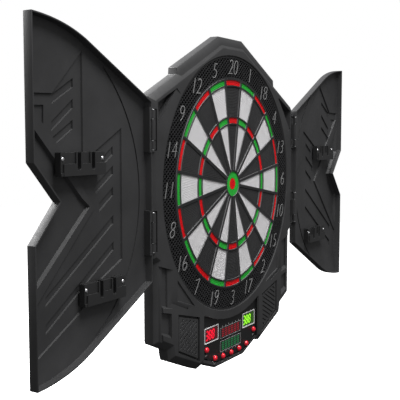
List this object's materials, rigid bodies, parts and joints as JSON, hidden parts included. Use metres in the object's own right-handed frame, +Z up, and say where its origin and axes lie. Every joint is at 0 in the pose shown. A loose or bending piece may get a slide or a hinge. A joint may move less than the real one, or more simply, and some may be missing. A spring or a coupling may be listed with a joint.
{
  "type": "electronic dartboard",
  "caption": "Wall-hung electronic dartboard in a black cabinet with two swing doors, sprung scoring pads, a control console and dart holders.",
  "frame": {"origin": "the point where the bull's axis meets the wall", "axes": "+X to the right of a player facing the board, -Y towards the player, +Y into the wall, +Z up"},
  "size_m": [0.9568, 0.043, 0.5416],
  "materials": {
    "black_plastic": "fine-textured injection-moulded black housing",
    "door_plastic": "fine-textured injection-moulded black door",
    "mesh_plastic": "black open mesh and divider webs",
    "panel_plastic": "satin black control panel",
    "number_grey": "raised grey numbers",
    "print_white": "thin printed lines and marks",
    "white_pad": "perforated light grey-white scoring pad",
    "black_pad": "perforated black scoring pad",
    "red_pad": "perforated red scoring pad",
    "green_pad": "perforated green scoring pad",
    "button_red": "glossy red domed button",
    "red_display": "red-tinted display window",
    "green_display": "green-tinted display window",
    "red_light": "lit red display segments",
    "green_light": "lit green display segments",
    "pin_steel": "steel hinge pin",
    "screw_steel": "bright plated screw head",
    "holder_plastic": "black clip-on dart holder",
    "foam": "soft grey damping sheet",
    "film": "printed switch membrane",
    "silicone": "silicone key mat",
    "circuit_board": "green circuit board",
    "speaker_cone": "small paper-cone speaker",
    "battery_wrap": "plain battery sleeve"
  },
  "bodies": {
    "cabinet": {"front_housing": "black_plastic", "rear_housing": "black_plastic", "catch_ring": "mesh_plastic", "spider": "mesh_plastic", "foam_backing": "foam", "sensor_membrane": "film", "console_panel": "panel_plastic", "left_display": "red_display", "right_display": "green_display", "upper_indicator": "red_display", "lower_indicator": "green_display", "button_mat": "silicone", "main_board": "circuit_board", "left_grille": "black_plastic", "right_grille": "black_plastic", "speaker": "speaker_cone", "battery_1": "battery_wrap", "battery_2": "battery_wrap", "battery_3": "battery_wrap", "dc_jack": "panel_plastic", "left_upper_hinge_pin": "pin_steel", "left_lower_hinge_pin": "pin_steel", "right_upper_hinge_pin": "pin_steel", "right_lower_hinge_pin": "pin_steel"},
    "left_door": {"left_door": "door_plastic", "left_upper_dart_holder": "holder_plastic", "left_lower_dart_holder": "holder_plastic"},
    "right_door": {"right_door": "door_plastic", "right_upper_dart_holder": "holder_plastic", "right_lower_dart_holder": "holder_plastic"},
    "battery_cover": {"battery_cover": "black_plastic"},
    "outer_bull": {"outer_bull": "green_pad"},
    "inner_bull": {"inner_bull": "red_pad"},
    "push_button_1": {"push_button_1": "button_red"},
    "push_button_2": {"push_button_2": "button_red"},
    "push_button_3": {"push_button_3": "button_red"},
    "push_button_4": {"push_button_4": "button_red"},
    "push_button_5": {"push_button_5": "button_red"},
    "push_button_6": {"push_button_6": "button_red"},
    "push_button_7": {"push_button_7": "button_red"},
    "segment_20": {"segment_20": "black_pad"},
    "segment_01": {"segment_01": "white_pad"},
    "segment_18": {"segment_18": "black_pad"},
    "segment_04": {"segment_04": "white_pad"},
    "segment_13": {"segment_13": "black_pad"},
    "segment_06": {"segment_06": "white_pad"},
    "segment_10": {"segment_10": "black_pad"},
    "segment_15": {"segment_15": "white_pad"},
    "segment_02": {"segment_02": "black_pad"},
    "segment_17": {"segment_17": "white_pad"},
    "segment_03": {"segment_03": "black_pad"},
    "segment_19": {"segment_19": "white_pad"},
    "segment_07": {"segment_07": "black_pad"},
    "segment_16": {"segment_16": "white_pad"},
    "segment_08": {"segment_08": "black_pad"},
    "segment_11": {"segment_11": "white_pad"},
    "segment_14": {"segment_14": "black_pad"},
    "segment_09": {"segment_09": "white_pad"},
    "segment_12": {"segment_12": "black_pad"},
    "segment_05": {"segment_05": "white_pad"}
  },
  "joints": [
    {"name": "door_left_hinge", "type": "hinge", "parent": "cabinet", "child": "left_door", "pos_m": [-0.2395, -0.039, 0], "axis": [0, 0, 1], "range_deg": [0, 180]},
    {"name": "door_right_hinge", "type": "hinge", "parent": "cabinet", "child": "right_door", "pos_m": [0.2395, -0.039, 0], "axis": [0, 0, -1], "range_deg": [0, 180]},
    {"name": "battery_cover_pull", "type": "slide", "parent": "cabinet", "child": "battery_cover", "axis": [0, 1, 0], "range_m": [0, 0.012]},
    {"name": "inner_bull_press", "type": "slide", "parent": "cabinet", "child": "inner_bull", "axis": [0, 1, 0], "range_m": [0, 0.0012], "stiffness_N_per_m": 900, "springref_m": -0.0005},
    {"name": "outer_bull_press", "type": "slide", "parent": "cabinet", "child": "outer_bull", "axis": [0, 1, 0], "range_m": [0, 0.0012], "stiffness_N_per_m": 900, "springref_m": -0.0005},
    {"name": "push_button_1_press", "type": "slide", "parent": "cabinet", "child": "push_button_1", "axis": [0, 1, 0], "range_m": [0, 0.0012], "stiffness_N_per_m": 700, "springref_m": -0.0005},
    {"name": "push_button_2_press", "type": "slide", "parent": "cabinet", "child": "push_button_2", "axis": [0, 1, 0], "range_m": [0, 0.0012], "stiffness_N_per_m": 700, "springref_m": -0.0005},
    {"name": "push_button_3_press", "type": "slide", "parent": "cabinet", "child": "push_button_3", "axis": [0, 1, 0], "range_m": [0, 0.0012], "stiffness_N_per_m": 700, "springref_m": -0.0005},
    {"name": "push_button_4_press", "type": "slide", "parent": "cabinet", "child": "push_button_4", "axis": [0, 1, 0], "range_m": [0, 0.0012], "stiffness_N_per_m": 700, "springref_m": -0.0005},
    {"name": "push_button_5_press", "type": "slide", "parent": "cabinet", "child": "push_button_5", "axis": [0, 1, 0], "range_m": [0, 0.0012], "stiffness_N_per_m": 700, "springref_m": -0.0005},
    {"name": "push_button_6_press", "type": "slide", "parent": "cabinet", "child": "push_button_6", "axis": [0, 1, 0], "range_m": [0, 0.0012], "stiffness_N_per_m": 700, "springref_m": -0.0005},
    {"name": "push_button_7_press", "type": "slide", "parent": "cabinet", "child": "push_button_7", "axis": [0, 1, 0], "range_m": [0, 0.0012], "stiffness_N_per_m": 700, "springref_m": -0.0005},
    {"name": "segment_20_press", "type": "slide", "parent": "cabinet", "child": "segment_20", "axis": [0, 1, 0], "range_m": [0, 0.0012], "stiffness_N_per_m": 1200, "springref_m": -0.0005},
    {"name": "segment_01_press", "type": "slide", "parent": "cabinet", "child": "segment_01", "axis": [0, 1, 0], "range_m": [0, 0.0012], "stiffness_N_per_m": 1200, "springref_m": -0.0005},
    {"name": "segment_18_press", "type": "slide", "parent": "cabinet", "child": "segment_18", "axis": [0, 1, 0], "range_m": [0, 0.0012], "stiffness_N_per_m": 1200, "springref_m": -0.0005},
    {"name": "segment_04_press", "type": "slide", "parent": "cabinet", "child": "segment_04", "axis": [0, 1, 0], "range_m": [0, 0.0012], "stiffness_N_per_m": 1200, "springref_m": -0.0005},
    {"name": "segment_13_press", "type": "slide", "parent": "cabinet", "child": "segment_13", "axis": [0, 1, 0], "range_m": [0, 0.0012], "stiffness_N_per_m": 1200, "springref_m": -0.0005},
    {"name": "segment_06_press", "type": "slide", "parent": "cabinet", "child": "segment_06", "axis": [0, 1, 0], "range_m": [0, 0.0012], "stiffness_N_per_m": 1200, "springref_m": -0.0005},
    {"name": "segment_10_press", "type": "slide", "parent": "cabinet", "child": "segment_10", "axis": [0, 1, 0], "range_m": [0, 0.0012], "stiffness_N_per_m": 1200, "springref_m": -0.0005},
    {"name": "segment_15_press", "type": "slide", "parent": "cabinet", "child": "segment_15", "axis": [0, 1, 0], "range_m": [0, 0.0012], "stiffness_N_per_m": 1200, "springref_m": -0.0005},
    {"name": "segment_02_press", "type": "slide", "parent": "cabinet", "child": "segment_02", "axis": [0, 1, 0], "range_m": [0, 0.0012], "stiffness_N_per_m": 1200, "springref_m": -0.0005},
    {"name": "segment_17_press", "type": "slide", "parent": "cabinet", "child": "segment_17", "axis": [0, 1, 0], "range_m": [0, 0.0012], "stiffness_N_per_m": 1200, "springref_m": -0.0005},
    {"name": "segment_03_press", "type": "slide", "parent": "cabinet", "child": "segment_03", "axis": [0, 1, 0], "range_m": [0, 0.0012], "stiffness_N_per_m": 1200, "springref_m": -0.0005},
    {"name": "segment_19_press", "type": "slide", "parent": "cabinet", "child": "segment_19", "axis": [0, 1, 0], "range_m": [0, 0.0012], "stiffness_N_per_m": 1200, "springref_m": -0.0005},
    {"name": "segment_07_press", "type": "slide", "parent": "cabinet", "child": "segment_07", "axis": [0, 1, 0], "range_m": [0, 0.0012], "stiffness_N_per_m": 1200, "springref_m": -0.0005},
    {"name": "segment_16_press", "type": "slide", "parent": "cabinet", "child": "segment_16", "axis": [0, 1, 0], "range_m": [0, 0.0012], "stiffness_N_per_m": 1200, "springref_m": -0.0005},
    {"name": "segment_08_press", "type": "slide", "parent": "cabinet", "child": "segment_08", "axis": [0, 1, 0], "range_m": [0, 0.0012], "stiffness_N_per_m": 1200, "springref_m": -0.0005},
    {"name": "segment_11_press", "type": "slide", "parent": "cabinet", "child": "segment_11", "axis": [0, 1, 0], "range_m": [0, 0.0012], "stiffness_N_per_m": 1200, "springref_m": -0.0005},
    {"name": "segment_14_press", "type": "slide", "parent": "cabinet", "child": "segment_14", "axis": [0, 1, 0], "range_m": [0, 0.0012], "stiffness_N_per_m": 1200, "springref_m": -0.0005},
    {"name": "segment_09_press", "type": "slide", "parent": "cabinet", "child": "segment_09", "axis": [0, 1, 0], "range_m": [0, 0.0012], "stiffness_N_per_m": 1200, "springref_m": -0.0005},
    {"name": "segment_12_press", "type": "slide", "parent": "cabinet", "child": "segment_12", "axis": [0, 1, 0], "range_m": [0, 0.0012], "stiffness_N_per_m": 1200, "springref_m": -0.0005},
    {"name": "segment_05_press", "type": "slide", "parent": "cabinet", "child": "segment_05", "axis": [0, 1, 0], "range_m": [0, 0.0012], "stiffness_N_per_m": 1200, "springref_m": -0.0005}
  ]
}
